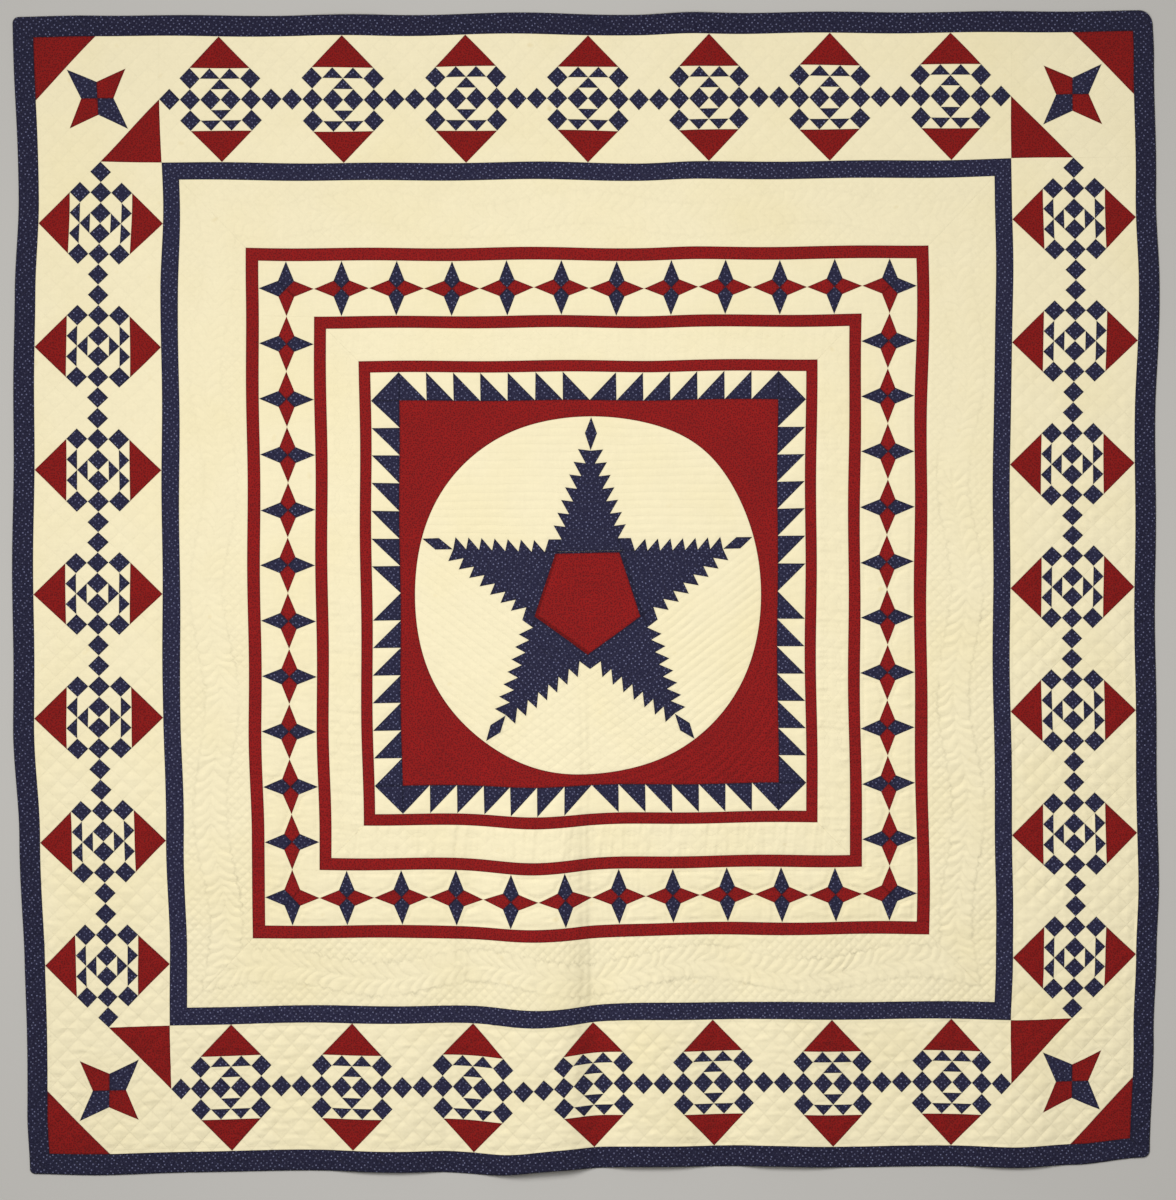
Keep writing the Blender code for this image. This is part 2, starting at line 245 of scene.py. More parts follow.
class Cloth:
    """A matt woven cloth: its material, and the nodes that colour and roughen it."""

    def __init__(self, name):
        self.material = bpy.data.materials.new(name)
        self.material.use_nodes = True
        self.tree = self.material.node_tree
        self.shader = self.tree.nodes["Principled BSDF"]

    @staticmethod
    def node(tree, kind, settings, sockets, output=0):
        """Adds any node: its settings first, then a number, colour or link for each socket."""
        made = tree.nodes.new(kind)
        for setting, value in settings.items():
            setattr(made, setting, value)
        for socket, value in sockets.items():
            if isinstance(value, Thread):
                tree.links.new(value.socket, made.inputs[socket])
            else:
                made.inputs[socket].default_value = value
        return Thread(made.outputs[output])

    def add(self, kind, settings, sockets, output=0):
        return Cloth.node(self.tree, kind, settings, sockets, output)

    def mix(self, share, first, second):
        """Blend of two colours."""
        settings = {"data_type": "RGBA", "clamp_factor": True}
        return self.add("ShaderNodeMix", settings, {0: share, 6: first, 7: second}, 2)

    def shade(self, colour, brightness):
        """A colour made brighter or darker by a value."""
        grey = self.add("ShaderNodeCombineXYZ", {}, {0: brightness, 1: brightness, 2: brightness})
        return self.add("ShaderNodeVectorMath", {"operation": "MULTIPLY"}, {0: colour, 1: grey})

    def noise(self, place, scale, detail=2.0):
        """Even noise about 0.5."""
        return self.add("ShaderNodeTexNoise", {}, {"Vector": place, "Scale": scale, "Detail": detail})

    def stretched(self, place, sizes):
        """A place scaled by its own amount along each axis."""
        return self.add("ShaderNodeVectorMath", {"operation": "MULTIPLY"}, {0: place, 1: sizes})


SEWING_THREAD = (0.62, 0.55, 0.38, 1.0)
STITCHES = {"per_metre": 230.0, "share": 0.55, "half_width": 0.00042, "groove": 0.0016, "shade": 0.0030}


def weave_cloth(name, ground, print_on, thread_shows, roughness, painted_seam_shade):
    """A plain-woven cotton: ground colour, its print, soft wear, painted shade at seams, stitched lines and
    creases, stitches and puckers.
    """
    cloth = Cloth(name)
    place = cloth.add("ShaderNodeTexCoord", {}, {}, 3)
    slow = cloth.noise(place, 2.2, 3.0)
    patchy = cloth.noise(place, 17.0, 4.0)
    fine = cloth.noise(place, 260.0, 2.0)
    warp = cloth.noise(cloth.stretched(place, (1500.0, 130.0, 130.0)), 1.0, 1.0)
    weft = cloth.noise(cloth.stretched(place, (130.0, 1500.0, 130.0)), 1.0, 1.0)
    slub_up = cloth.noise(cloth.stretched(place, (150.0, 26.0, 26.0)), 1.0, 2.0)
    slub_across = cloth.noise(cloth.stretched(place, (26.0, 150.0, 26.0)), 1.0, 2.0)
    pucker = cloth.noise(cloth.stretched(place, (48.0, 124.0, 48.0)), 1.0, 2.0)
    stitch = cloth.add("ShaderNodeAttribute", {"attribute_name": "stitch"}, {}, 1)
    edges = cloth.add("ShaderNodeAttribute", {"attribute_name": "edges"}, {}, 1)
    # painted shade from the creases and the deepest pucker valleys, taken off the tone below
    crease = cloth.add("ShaderNodeAttribute", {"attribute_name": "crease"}, {}, 2)
    first_line = abs((stitch.part(0) + 0.5) % 1.0 - 0.5)
    second_line = abs((stitch.part(1) + 0.5) % 1.0 - 0.5)
    from_line = (first_line.least(second_line) * stitch.part(2)).least(edges.part(1))
    dash = ((place.part(0) + place.part(1) * 0.73) * STITCHES["per_metre"]) % 1.0 < STITCHES["share"]
    sewn = (from_line < STITCHES["half_width"]) * dash
    # painted shade in the seam ditches: darkest at a seam, gone a few millimetres from it
    seam_shade = edges.part(0).range(0.0, STITCHES["shade"], 1.0, 0.0)
    # painted shade along the stitched lines, where the cover is drawn in
    line_shade = from_line.range(0.0, STITCHES["shade"], 1.0, 0.0)
    colour = print_on(cloth, place, ground, patchy)
    tone = 0.865 + 0.05 * slow + 0.04 * patchy + 0.07 * fine + 0.03 * warp + 0.03 * weft
    tone = tone + 0.045 * slub_up + 0.045 * slub_across
    # painted shade darkens the colour in the seam ditches, along the stitched lines and in the creases
    tone = tone - painted_seam_shade * seam_shade - 0.045 * line_shade * edges.part(2) - 0.045 * crease
    colour = cloth.shade(colour, tone)
    colour = cloth.mix(sewn * thread_shows, colour, SEWING_THREAD)
    groove = from_line.range(0.0, STITCHES["groove"], 1.0, 0.0) * edges.part(2)
    height = 0.10 * warp + 0.10 * weft + 0.12 * fine - 0.45 * groove - 0.15 * sewn
    height = height + (0.75 + 0.65 * edges.part(2)) * pucker
    bump = cloth.add("ShaderNodeBump", {}, {"Strength": 0.6, "Distance": 0.0009, "Height": height})
    links = cloth.tree.links
    links.new(colour.socket, cloth.shader.inputs["Base Color"])
    links.new(bump.socket, cloth.shader.inputs["Normal"])
    rough = roughness + 0.06 * patchy - 0.03
    links.new(rough.socket, cloth.shader.inputs["Roughness"])
    cloth.shader.inputs["Sheen Weight"].default_value = 0.04
    cloth.shader.inputs["Sheen Roughness"].default_value = 0.6
    cloth.shader.inputs["Specular IOR Level"].default_value = 0.10
    return cloth.material


FLAT = {"voronoi_dimensions": "2D"}  # a print lies in the cloth's own plane


def aged_muslin(cloth, place, ground, patchy):
    """Cream muslin, a little yellower in places, with a few faint spots."""
    yellowing = cloth.noise(place, 4.5, 3.0)
    spots = cloth.noise(place, 34.0, 1.0)
    warm = (ground[0] * 0.97, ground[1] * 0.955, ground[2] * 0.88, 1.0)
    brown = (ground[0] * 0.86, ground[1] * 0.80, ground[2] * 0.66, 1.0)
    colour = cloth.mix((yellowing - 0.45) * 2.6, (*ground, 1.0), warm)
    return cloth.mix((spots - 0.74) * 5.0, colour, brown)


def flecked_red(cloth, place, ground, patchy):
    """Red print: tiny dark flecks scattered close together."""
    cells = cloth.add("ShaderNodeTexVoronoi", FLAT, {"Vector": place, "Scale": 255.0, "Randomness": 0.9})
    dark = (ground[0] * 0.36, ground[1] * 0.50, ground[2] * 0.9, 1.0)
    bright = (ground[0] * 1.26, ground[1] * 1.05, ground[2] * 1.05, 1.0)
    colour = cloth.mix(patchy * 1.1 - 0.1, (*ground, 1.0), bright)
    return cloth.mix((cells < 0.30) * 0.68, colour, dark)


def dotted_navy(cloth, place, ground, patchy):
    """Navy print: light blue-grey dots in staggered rows, some fainter than others."""
    settings = {"rotation_type": "Z_AXIS"}
    aslant = cloth.add("ShaderNodeVectorRotate", settings, {"Vector": place, "Angle": 0.80})
    cells = cloth.add("ShaderNodeTexVoronoi", FLAT, {"Vector": aslant, "Scale": 125.0, "Randomness": 0.5})
    strength = cloth.noise(place, 95.0, 1.0)
    specks = cloth.noise(place, 410.0, 1.0)
    dot = (cells < 0.165) * (2.2 * strength - 0.48)
    light = (0.132, 0.140, 0.240, 1.0)
    faded = (ground[0] * 2.6, ground[1] * 2.6, ground[2] * 2.1, 1.0)
    colour = cloth.mix(specks * 2.6 - 1.0, (*ground, 1.0), faded)
    return cloth.mix(dot, colour, light)


# last number of each cloth: how dark its painted seam shade is
CLOTHS = {
    "cream": weave_cloth("cream_muslin", (0.806, 0.728, 0.494), aged_muslin, 0.10, 0.93, 0.06),
    "red": weave_cloth("red_print", (0.214, 0.0086, 0.0082), flecked_red, 0.015, 0.92, 0.42),
    "deep_red": weave_cloth("deep_red_print", (0.192, 0.0076, 0.0066), flecked_red, 0.015, 0.92, 0.42),
    "navy": weave_cloth("navy_print", (0.0120, 0.0118, 0.0325), dotted_navy, 0.02, 0.92, 0.38),
    "deep_navy": weave_cloth("deep_navy_print", (0.0096, 0.0094, 0.0260), dotted_navy, 0.02, 0.92, 0.38),
}

FINE = 0.0040  # spacing of the points on the pieced face
UNDER_STEP = 0.0200  # spacing of the points on the underside
PUFF = 0.0052  # cover thickness in the middle of a puff
RELIEF = 0.0021  # how far a tight stitched line or seam draws the cover in
DEEPEST = 0.0036  # the most that the face can lie below a puff's middle
FAR = 0.030  # a seam or line further off than this does nothing
BETWEEN = 0.5  # a place midway between two stitched lines, for a piece with none
LINE_REACH = (0.0034, 0.0060)  # least and most reach of a stitched line's draw
SEAM_REACH = 0.0042
PUCKER_REACH = 0.0160  # how far puckers run from a seam
SWELLS = {"broad": 0.00030, "ripple": 0.00020, "pucker": 0.00032, "wrinkle": 0.00055}
LAYOUT = {"edge": 0.01, "width": 0.97, "face": 0.86, "under": 0.90, "under_high": 0.05, "walls": 0.965}


def turned(points, quarter):
    """Points turned about the middle by quarter turns, counterclockwise."""
    points = np.asarray(points, dtype=float)
    for _ in range(quarter):
        points = np.column_stack([-points[:, 1], points[:, 0]])
    return points


def stepped(loop, step, stops=()):
    """A closed loop with points added along it, and at the stops that lie on it."""
    points = []
    for start, end in zip(loop, np.roll(loop, -1, axis=0)):
        along = end - start
        length = math.hypot(*along)
        shares = [0.0, 1.0]
        for stop in stops:
            share = float((stop - start) @ along) / length**2
            if 1e-3 < share < 0.999 and math.hypot(*(start + share * along - stop)) < 1e-6:
                shares.append(share)
        shares = sorted(shares)
        pairs = zip(shares, [-1.0] + shares)
        shares = [share for share, before in pairs if (share - before) * length > 1e-5]
        for here, after in zip(shares[:-1], shares[1:]):
            count = max(1, math.ceil((after - here) * length / step - 1e-6))
            points.extend(start + along * (here + (after - here) * i / count) for i in range(count))
    return np.array(points)


def within(points, loop):
    """Which points lie inside a loop."""
    x, y = points[:, 0], points[:, 1]
    result = np.zeros(len(points), dtype=bool)
    for (ax, ay), (bx, by) in zip(loop, np.roll(loop, -1, axis=0)):
        if ay != by:
            result ^= ((ay > y) != (by > y)) & (x < (bx - ax) * (y - ay) / (by - ay) + ax)
    return result


def in_cloth(points, loops):
    """Which points lie inside the first loop and outside the holes after it."""
    result = within(points, loops[0])
    for hole in loops[1:]:
        result &= ~within(points, hole)
    return result


def distance_to(points, segments, reach=FAR):
    """Distance of each point from the nearest segment, up to a reach."""
    best = np.full(len(points), reach)
    for start, end in segments:
        low, high = np.minimum(start, end) - reach, np.maximum(start, end) + reach
        near = np.flatnonzero(((points > low) & (points < high)).all(axis=1))
        close = points[near]
        along = end - start
        share = np.clip((close - start) @ along / max(along @ along, 1e-12), 0.0, 1.0)
        away = np.linalg.norm(close - start - share[:, None] * along, axis=1)
        best[near] = np.minimum(best[near], away)
    return best


def lattice(low, high, first, second, origin=(0.0, 0.0)):
    """Grid points that fill a box, on two given steps from an origin."""
    steps = np.array([first, second]).T
    corners = np.array([(x, y) for x in (low[0], high[0]) for y in (low[1], high[1])])
    counts = np.linalg.solve(steps, (corners - np.array(origin)).T)
    from_i, from_j = np.floor(counts.min(axis=1)).astype(int)
    to_i, to_j = np.ceil(counts.max(axis=1)).astype(int)
    i, j = np.meshgrid(np.arange(from_i, to_i + 1), np.arange(from_j, to_j + 1))
    points = np.column_stack([i.ravel(), j.ravel()]) @ steps.T + np.array(origin)
    return points[((points > low) & (points < high)).all(axis=1)]


def plain_grid(low, high):
    """Staggered grid for a piece with no slanting lines."""
    return lattice(low, high, (FINE, 0.0), (0.5 * FINE, 0.866 * FINE))


def apart(points, taken, gap):
    """Points of a grid that stay clear of points that are already taken."""
    cells = {}
    for x, y in taken:
        cells.setdefault((int(x // gap), int(y // gap)), []).append((x, y))
    keep = np.ones(len(points), dtype=bool)
    for index, (x, y) in enumerate(points):
        column, row = int(x // gap), int(y // gap)
        for i in (column - 1, column, column + 1):
            for j in (row - 1, row, row + 1):
                for other in cells.get((i, j), ()):
                    if (x - other[0]) ** 2 + (y - other[1]) ** 2 < gap * gap:
                        keep[index] = False
    return points[keep]


def join_up(loops, others, free):
    """Triangles inside the loops, along every other line: places, faces and the rims that bound them."""
    rings = list(loops) + list(others)
    edges = []
    first = 0
    for ring in rings:
        count = len(ring)
        edges.extend((first + i, first + (i + 1) % count) for i in range(count))
        first += count
    given = np.round(np.vstack(rings + [free]), 7)
    found = delaunay_2d_cdt([Vector(p) for p in given], edges, [], 1, 1e-6)
    places = np.array([(v.x, v.y) for v in found[0]])
    faces = np.array(found[2])
    faces = faces[in_cloth(places[faces].mean(axis=1), loops)]
    return places, faces, rims_of(faces)


def rims_of(faces):
    """Loops of edges that only one triangle uses."""
    pairs = np.vstack([faces[:, [0, 1]], faces[:, [1, 2]], faces[:, [2, 0]]])
    known = set(map(tuple, pairs.tolist()))
    after = {a: b for a, b in known if (b, a) not in known}
    rims = []
    while after:
        start = min(after)
        rim = [start]
        while after[rim[-1]] != start:
            rim.append(after[rim[-1]])
        for point in rim:
            del after[point]
        rims.append(np.array(rim))
    return sorted(rims, key=len, reverse=True)


def uneven(points, size):
    """Slow unevenness from about -1 to 1, over a given size."""
    x, y = points.T * (2.0 * math.pi / size)
    wave = np.sin(x + 1.7 * np.sin(0.7 * y + 1.0)) + np.sin(1.1 * y + 1.5 * np.sin(0.8 * x + 2.0))
    return 0.5 * wave * np.cos(0.37 * x - 0.29 * y)


def segments_of(loop):
    """Edges of a loop, as pairs of ends."""
    return list(zip(loop, np.roll(loop, -1, axis=0)))


def quilt(points, cut, stitch, seams, joins, echo, tight, gather):
    """Quilts the face. Gives how far it sinks below a puff's middle, where it lies among the stitched lines,
    its distance from seam and outline with the lines' strength, and the painted shade for its creases and
    pucker valleys."""
    seam = distance_to(points, seams)
    phase_a, phase_b, pitch, outline = (np.broadcast_to(found, seam.shape) for found in stitch(points))
    if echo:
        outline = np.minimum(outline, np.abs(seam - echo))
    if joins:
        outline = np.minimum(outline, distance_to(points, joins))
    from_a = np.abs((phase_a + 0.5) % 1.0 - 0.5)
    from_b = np.abs((phase_b + 0.5) % 1.0 - 0.5)
    line = np.minimum(np.minimum(from_a, from_b) * pitch, outline)
    draw_line = np.exp(-((line / np.clip(0.30 * pitch, *LINE_REACH)) ** 2))
    draw_seam = np.exp(-((seam / SEAM_REACH) ** 2))

    # the lower left of the cover lies looser and puffs up more than the rest
    loose = ease(0.47 + 0.16 * cut[:, 0] - 0.83 * cut[:, 1])
    strength = tight * (0.17 + 0.55 * loose)
    strength = strength * (1.0 + 0.55 * uneven(cut, 0.19)) * (1.0 + 0.50 * uneven(cut, 0.045))
    draw = np.maximum(strength * draw_line, (0.34 + 0.26 * loose) * draw_seam)
    puckers = uneven(points * (1.0, 0.10), 0.0135) * np.exp(-((seam / PUCKER_REACH) ** 2) / gather)
    puckers = puckers * gather * (1.0 + 0.7 * uneven(points + 1.0, 0.11))
    wrinkles = uneven(cut * (0.30, 1.0) + 5.0, 0.0165) * (1.0 + 0.8 * uneven(cut + 2.0, 0.10))
    swell = SWELLS["broad"] * (0.5 + loose) * uneven(cut + 0.3, 0.085)
    swell = swell + SWELLS["ripple"] * loose * uneven(cut * (0.35, 1.0) + 2.0, 0.034)
    swell = swell + SWELLS["pucker"] * (0.3 + loose) * puckers + SWELLS["wrinkle"] * tight * loose * wrinkles
    crease = creased(*cut.T)
    sink = RELIEF * draw - swell * (1.0 - draw_seam) + crease
    sink = sink / (1.0 + (np.clip(sink, 0.0, None) / DEEPEST) ** 4) ** 0.25
    # painted shade: darker in the creases and in the deepest pucker valleys
    painted_crease_shade = crease / CREASE_SHADE + (0.3 + loose) * np.clip(-0.45 * puckers - 0.12, 0.0, 1.0)
    lines = np.column_stack([phase_a, phase_b, pitch])
    return sink, lines, np.column_stack([seam, outline, strength]), painted_crease_shade


def side_walls(rims, top_rim, under_rim, middle_from):
    """Triangles that close the sheet's side, by way of a middle row of points where there is one."""
    walls = []
    first = 0
    for ring in rims:
        here = first + np.arange(len(ring))
        after = first + (np.arange(len(ring)) + 1) % len(ring)
        a, b = top_rim[here], top_rim[after]
        c, d = under_rim[here], under_rim[after]
        if middle_from is None:
            walls += [np.column_stack([a, c, d]), np.column_stack([a, d, b])]
        else:
            m, n = middle_from + here, middle_from + after
            walls += [np.column_stack([a, m, n]), np.column_stack([a, n, b])]
            walls += [np.column_stack([m, c, d]), np.column_stack([m, d, n])]
        first += len(ring)
    return walls


def bake_layout(corner, count_top, count_under, low, span, rows):
    """Flat layout for the closing bake: the face folded into rows, then the underside and the side walls."""
    row_length = span[0] / rows
    row = np.clip(np.floor((corner.mean(axis=1)[:, 0] - low[0]) / row_length), 0, rows - 1)
    scale = min(LAYOUT["width"] / row_length, LAYOUT["face"] / (rows * span[1]))
    u = (corner[:, :, 0] - low[0] - row[:, None] * row_length) * scale + LAYOUT["edge"]
    v = (corner[:, :, 1] - low[1]) * scale * 0.985 + row[:, None] * span[1] * scale + LAYOUT["edge"]
    below = slice(count_top, count_top + count_under)
    u[below] = LAYOUT["edge"] + LAYOUT["width"] * (corner[below][:, :, 0] - low[0]) / span[0]
    v[below] = LAYOUT["under"] + LAYOUT["under_high"] * (corner[below][:, :, 1] - low[1]) / span[1]
    walls = len(corner) - below.stop
    share = np.arange(walls) / walls
    u[below.stop:] = LAYOUT["edge"] + LAYOUT["width"] * share[:, None] + np.array([0.0, 0.0, 0.0006])
    v[below.stop:] = LAYOUT["walls"] + np.array([0.0, 0.02, 0.02])
    return np.stack([u, v], axis=2).ravel()


def sew(
    name, loops, ground, patches, grid, stitch, flat, area=None, seams=None, joins=(), echo=0.0,
    tight=1.0, gather=1.0, quarter=0, rows=1, hem=None,
):
    """Makes one piece of the cover: a thin quilted sheet, its patches in their own cloths.
    Everything is drawn as for the upper side, then turned by quarter turns."""
    loops = [np.array(loop, dtype=float) for loop in loops]
    low, high = loops[0].min(axis=0), loops[0].max(axis=0)
    patches = [(cloth, np.clip(shape, low, high)) for cloth, shape in patches]
    row_ends = [low[0] + (high[0] - low[0]) * k / rows for k in range(1, rows)]
    row_lines = [np.array([(end, low[1]), (end, high[1])]) for end in row_ends]
    marks = np.vstack([shape for _, shape in patches] + row_lines + [loops[0][:1]])
    rims = [stepped(loop, FINE, marks) for loop in loops]
    shapes = [stepped(shape, FINE) for _, shape in patches] + [stepped(line, FINE) for line in row_lines]
    free = grid(low, high)
    free = apart(free[in_cloth(free, loops)], np.vstack(rims + shapes), 0.55 * FINE)
    top, top_faces, top_rims = join_up(rims, shapes, free)
    rims = [top[rim] for rim in top_rims]
    free = lattice(low, high, (UNDER_STEP, 0.0), (0.0, UNDER_STEP), low + 0.5 * UNDER_STEP)
    free = apart(free[in_cloth(free, loops)], np.vstack(rims), 0.4 * UNDER_STEP)
    under, under_faces, _ = join_up(rims, [], free)
    top_rim = np.hstack(top_rims)
    under_rim = np.array([np.abs(under - point).sum(axis=1).argmin() for point in top[top_rim]])

    # heights of the two faces, where each lies on the floor, and the side walls between them
    if seams is None:
        seams = [edge for loop in loops for edge in segments_of(loop)]
    seams = [(np.array(start), np.array(end)) for start, end in seams]
    seams += [edge for _, shape in patches for edge in segments_of(shape)]
    cut, cut_under = turned(top, quarter), turned(under, quarter)
    sink, lines, edges, painted_crease_shade = quilt(top, cut, stitch, seams, joins, echo, tight, gather)
    upper = np.column_stack([*lay(*cut.T), lift(*cut.T) + PUFF - sink])
    lower = np.column_stack([*lay(*cut_under.T), lift(*cut_under.T)])
    places, flats = [upper, lower], [top, under]
    if hem:
        places.append(hem(upper, lower, top_rim, under_rim, turned(np.vstack(rims), quarter)))
        flats.append(np.vstack(rims))
    middle_from = len(top) + len(under) if hem else None
    walls = side_walls(rims, top_rim, under_rim + len(top), middle_from)
    faces = np.vstack([top_faces, under_faces[:, ::-1] + len(top)] + walls)
    mesh = bpy.data.meshes.new(name)
    mesh.from_pydata(np.vstack(places).tolist(), [], faces.tolist())

    # each triangle's cloth
    kinds = {ground, "cream"} | {cloth for cloth, _ in patches}
    kinds = sorted(kinds, key=lambda kind: (kind != ground, kind))
    for kind in kinds:
        mesh.materials.append(CLOTHS[kind])
    centres = top[top_faces].mean(axis=1)
    which = np.zeros(len(faces), dtype=np.int32)
    for cloth, shape in patches:
        box = ((centres > shape.min(axis=0)) & (centres < shape.max(axis=0))).all(axis=1)
        found = np.flatnonzero(box)
        which[found[within(centres[found], shape)]] = kinds.index(cloth)
    which[len(top_faces):len(top_faces) + len(under_faces)] = kinds.index("cream")
    mesh.polygons.foreach_set("material_index", which)
    mesh.polygons.foreach_set("use_smooth", np.ones(len(faces), dtype=bool))

    # stitched lines, seams and painted crease shade for the cloths, then the layout for the closing bake
    plain = np.ones((len(mesh.vertices) - len(top), 1))
    lines = np.vstack([lines, plain * (BETWEEN, BETWEEN, 0.02)])
    edges = np.vstack([edges, plain * (FAR, FAR, 0.0)])
    painted_crease_shade = np.append(painted_crease_shade, 0.0 * plain)
    mesh.attributes.new("stitch", "FLOAT_VECTOR", "POINT").data.foreach_set("vector", lines.ravel())
    mesh.attributes.new("edges", "FLOAT_VECTOR", "POINT").data.foreach_set("vector", edges.ravel())
    mesh.attributes.new("crease", "FLOAT", "POINT").data.foreach_set("value", painted_crease_shade)
    corner = np.vstack(flats)[faces.ravel()].reshape(-1, 3, 2)
    layout = mesh.uv_layers.new(name="OFBake").data
    layout.foreach_set("uv", bake_layout(corner, len(top_faces), len(under_faces), low, high - low, rows))
    mesh.validate()
    mesh.set_sharp_from_angle(angle=math.radians(50))
    piece = bpy.data.objects.new("cloth_" + name, mesh)
    bpy.context.scene.collection.objects.link(piece)
    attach(piece, "root")
    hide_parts(name)


DISC = {"x": 0.3275, "y": 0.3340, "middle": (-0.001, -0.005), "points": 216}
DISC_LOBES = (  # unevenness of the hand-cut disc: waves round it, cosine share, sine share
    (1, -0.0005, 0.0022),
    (2, 0.0013, 0.0012),
    (3, -0.0009, 0.0006),
    (4, -0.0045, -0.0009),
    (5, -0.0001, -0.0017),
)
STAR_MIDDLE = np.array([0.0004, -0.0083])
STAR_RADIUS = 0.2730
STAR_TIP = 0.3285
TIP_SHIFTS = (  # how far each arm's tip lies off a true star, clockwise from the top one
    (0.0019, 0.0002),
    (-0.0085, 0.0063),
    (0.0015, 0.0055),
    (-0.0016, 0.0039),
    (0.0022, 0.0068),
)
PENTAGON = {"radius": 0.1035, "shift": (-0.0048, -0.0027)}
TOOTH = {"from_tip": 0.0040, "height": 0.0218, "lean": 0.0045, "count": 7}
SECTOR_PITCH = 0.0148


def disc_loop(grow):
    """Outline of the centre disc, grown or shrunk by a little."""
    turn = 2.0 * math.pi * np.arange(DISC["points"]) / DISC["points"]
    for waves, cosine, sine in DISC_LOBES:
        grow = grow + cosine * np.cos(waves * turn) + sine * np.sin(waves * turn)
    x = DISC["middle"][0] + (DISC["x"] + grow) * np.cos(turn)
    y = DISC["middle"][1] + (DISC["y"] + grow) * np.sin(turn)
    return np.column_stack([x, y])


def pieced(points):
    """Points of a true star, moved as hand piecing has moved its arms."""
    radius, bearing = np.hypot(*points.T), np.arctan2(*points.T)
    moved = points + STAR_MIDDLE
    for k, shift in enumerate(TIP_SHIFTS):
        turn = (bearing - math.radians(72 * k) + math.pi) % (2 * math.pi) - math.pi
        share = (radius / STAR_TIP) ** 2 * np.exp(-((turn / 0.42) ** 2))
        moved += share[:, None] * np.array(shift)
    return moved


def star_patches():
    """Feathered star: five navy points with teeth, a diamond off each tip, and a red pentagon."""
    inner = STAR_RADIUS * math.sin(math.radians(18)) / math.sin(math.radians(54))
    notch = np.array([inner * math.sin(math.radians(36)), inner * math.cos(math.radians(36))])
    apex = np.array([0.0, STAR_RADIUS])
    edge = notch - apex
    length = math.hypot(*edge)
    along = edge / length
    outward = np.array([-along[1], along[0]])
    cell = (length - TOOTH["from_tip"]) / (TOOTH["count"] + 1)
    side = []
    for k in range(TOOTH["count"]):
        valley = apex + along * (TOOTH["from_tip"] + k * cell)
        side += [valley, valley + along * TOOTH["lean"] + outward * TOOTH["height"]]
    side += [notch - along * cell, notch]
    arm = side + [np.array([-x, y]) for x, y in side[::-1]]
    next_edge = notch - STAR_RADIUS * np.array([math.sin(math.radians(72)), math.cos(math.radians(72))])
    next_along = next_edge / math.hypot(*next_edge)
    corner = [notch, notch - along * cell, notch - (along + next_along) * cell, notch - next_along * cell]
    half = 0.5 * (STAR_RADIUS + STAR_TIP)
    diamond = [(0.0, STAR_RADIUS - 0.0035), (0.0113, half), (0.0, STAR_TIP + 0.0015), (-0.0113, half)]
    patches = []
    for k in range(5):
        turn = math.radians(72 * k)
        spin = np.array([[math.cos(turn), math.sin(turn)], [-math.sin(turn), math.cos(turn)]])
        for shape in (arm, corner, diamond):
            patches.append(("navy", pieced(np.array(shape) @ spin)))
    turn = np.radians(36 + 72 * np.arange(5))
    corners = np.column_stack([np.sin(turn), np.cos(turn)])
    patches.append(("navy", STAR_MIDDLE + inner * corners))
    patches.append(("red", STAR_MIDDLE + PENTAGON["shift"] + PENTAGON["radius"] * corners))
    return patches


def disc_stitch(points):
    """Straight lines in each sector between the star's arms; lines round the pentagon's edges."""
    x, y = (points - STAR_MIDDLE).T
    bearing = np.degrees(np.arctan2(x, y)) % 360.0
    slope = math.radians(36)
    upper = (bearing < 72) | (bearing >= 288)
    right = (bearing >= 72) & (bearing < 144)
    left = (bearing >= 216) & (bearing < 288)
    level = y / SECTOR_PITCH
    falling = (y * math.cos(slope) + x * math.sin(slope)) / SECTOR_PITCH
    rising = (y * math.cos(slope) - x * math.sin(slope)) / SECTOR_PITCH
    phase_a = np.where(upper, level, np.where(right, rising, np.where(left, falling, rising)))
    phase_b = np.where(upper | right | left, BETWEEN, falling)
    in_star = np.zeros(len(points), dtype=bool)
    for _, shape in STAR_PATCHES:
        in_star |= within(points, shape)
    pentagon = STAR_PATCHES[-1][1]
    away = distance_to(points, segments_of(pentagon), 0.25)
    phase_a = np.where(in_star, 0.40 + away / 0.0170, phase_a) + 0.12 * uneven(points, 0.16)
    phase_b = np.where(in_star, BETWEEN, phase_b) + 0.10 * uneven(points + 1.0, 0.14)
    return phase_a, phase_b, SECTOR_PITCH, FAR


STAR_PATCHES = star_patches()
sew(
    "star_disc", [disc_loop(-0.5 * CUT)], "cream", STAR_PATCHES, plain_grid, disc_stitch,
    flat=(2 * DISC["x"], 2 * DISC["y"]), area=math.pi * DISC["x"] * DISC["y"], tight=0.75,
)


# The red square: printed cotton with a round hole that the disc is set into, quilted in rings that follow
# the circle out to the corners. One piece of cloth, sewn to the disc by hand.
SQUARE_HALF = 0.3535
square = SQUARE_HALF - 0.5 * CUT


def ring_stitch(points):
    """Rings that follow the disc's edge."""
    x = (points[:, 0] - DISC["middle"][0]) / DISC["x"]
    y = (points[:, 1] - DISC["middle"][1]) / DISC["y"]
    return (np.hypot(x, y) - 1.0) * DISC["x"] / SECTOR_PITCH + 0.5, BETWEEN, SECTOR_PITCH, FAR


square_loop = [(-square, -square), (square, -square), (square, square), (-square, square)]
sew(
    "red_square", [square_loop, disc_loop(0.5 * CUT)[::-1]], "red", [], plain_grid, ring_stitch,
    flat=(2 * SQUARE_HALF, 2 * SQUARE_HALF), area=4 * SQUARE_HALF**2 - math.pi * DISC["x"] * DISC["y"],
)


# The sawtooth border: navy and cream half-square teeth, seven and seven turned to face each side's middle,
# with a half square at each corner. Four strips, butted, the corners on the top and bottom ones.
SIDES = ("top", "left", "bottom", "right")


